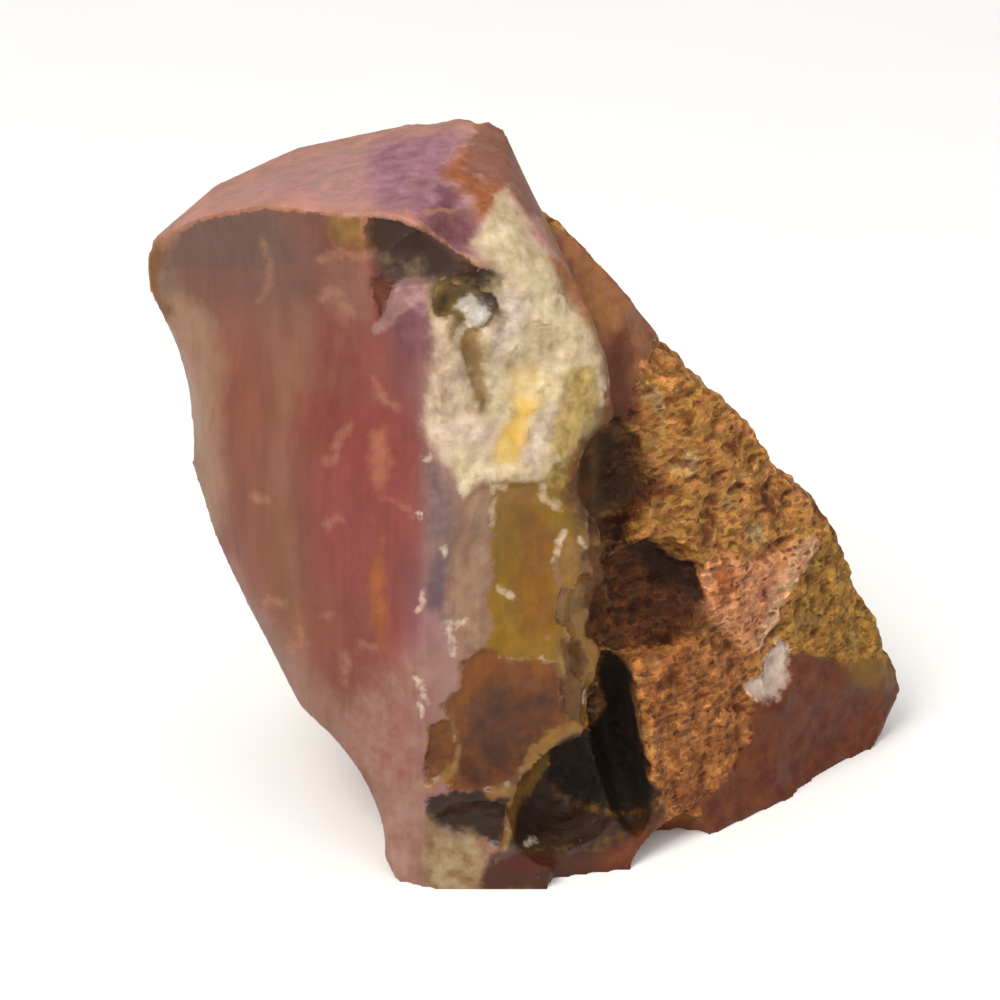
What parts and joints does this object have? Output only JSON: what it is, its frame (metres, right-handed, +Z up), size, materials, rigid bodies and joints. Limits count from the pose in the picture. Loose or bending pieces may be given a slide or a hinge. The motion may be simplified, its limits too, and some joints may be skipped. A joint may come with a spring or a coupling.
{
  "type": "petrified wood chunk",
  "caption": "Upright broken chunk of agatised wood: a smooth banded face under an overhanging flat top, glossy scars at a ridge, and a pitted crust sloping to the right",
  "frame": {"origin": "middle of the bounding box's underside, on the flat break that the chunk stands on", "axes": "+X to the right along the chunk's longest extent, towards the foot of the crust; -Y is the front with the ridge and the glossy scars; +Z up, along the wood's grain"},
  "size_m": [0.0546, 0.0318, 0.0494],
  "materials": {
    "agatised_wood": "waxy red, mauve, cream and amber agate, with a dull granular ochre crust over the right side and the back"
  },
  "bodies": {
    "root": {"petrified_wood_chunk": "agatised_wood"}
  },
  "joints": []
}
